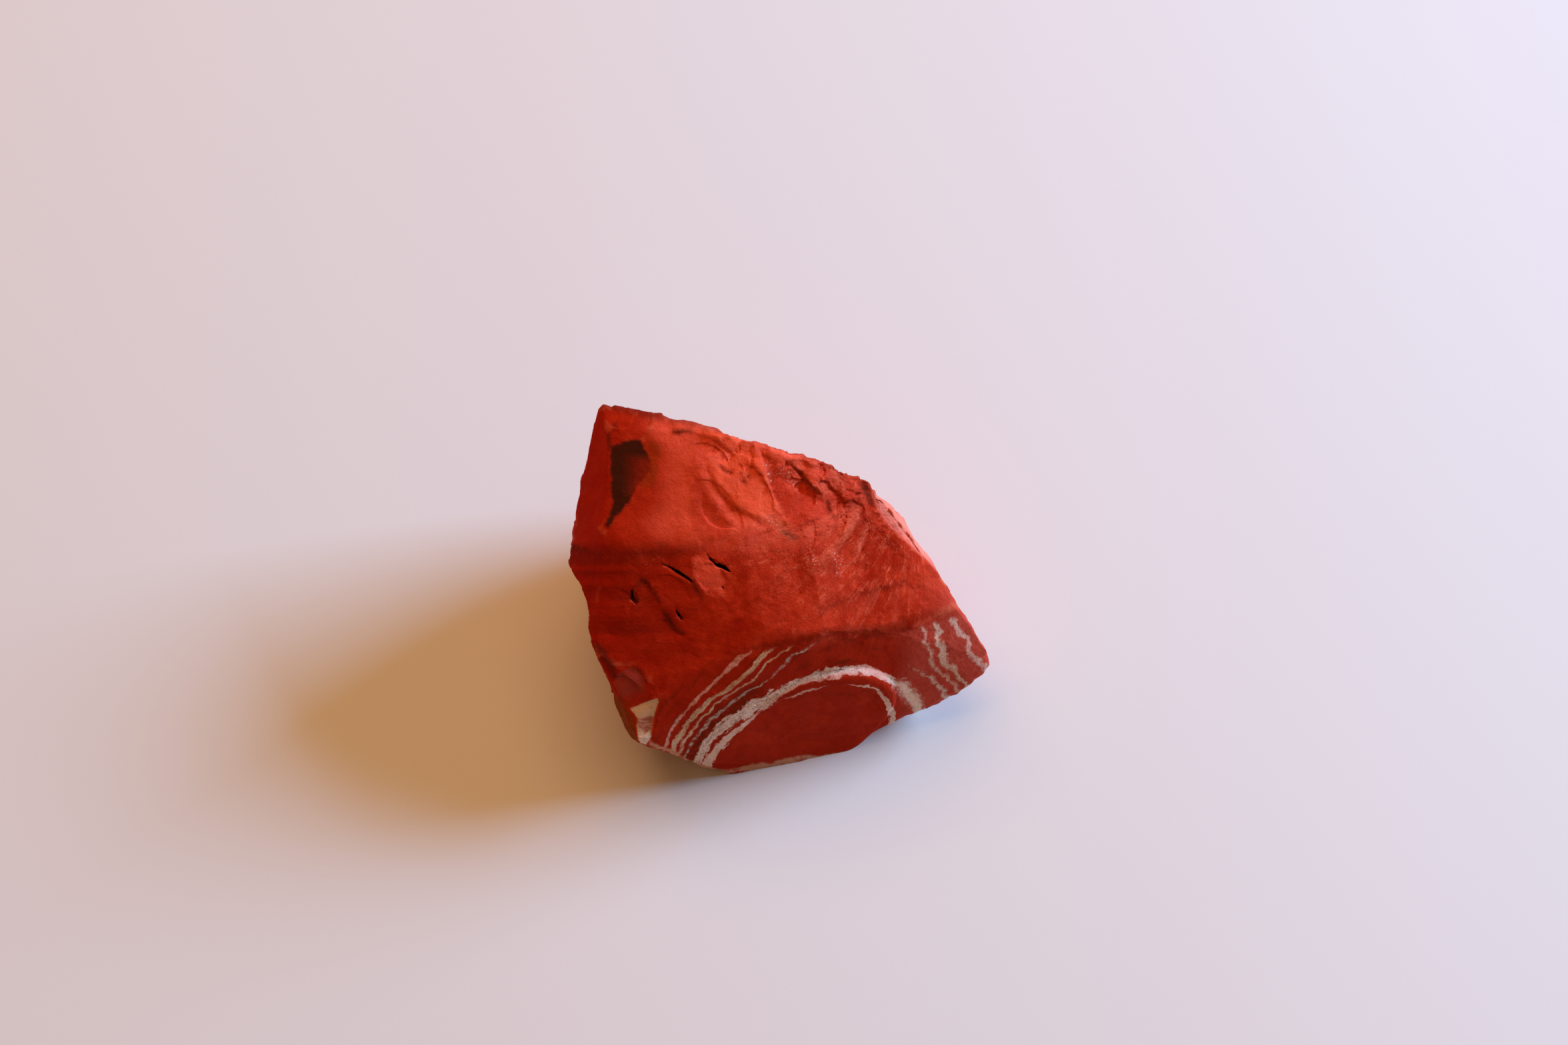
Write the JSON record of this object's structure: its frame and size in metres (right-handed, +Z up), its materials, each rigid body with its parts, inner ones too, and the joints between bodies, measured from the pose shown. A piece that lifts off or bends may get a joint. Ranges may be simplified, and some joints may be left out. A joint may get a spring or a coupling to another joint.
{
  "type": "rock",
  "caption": "Rough piece of red jasper with broken faces, fine white bands curving round a raised lens on its front, and a small flat spot to rest on",
  "frame": {"origin": "middle of the piece's box in X and Y, on the plane it rests on", "axes": "+Z up from the flat spot it rests on, +X along its longest side towards the end with the wavy bands, -Y out of the banded face"},
  "size_m": [0.0638, 0.049, 0.0376],
  "materials": {
    "stone": "dull broken surface, faintly waxy on its smooth faces"
  },
  "bodies": {
    "root": {"red_jasper": "stone"}
  },
  "joints": []
}
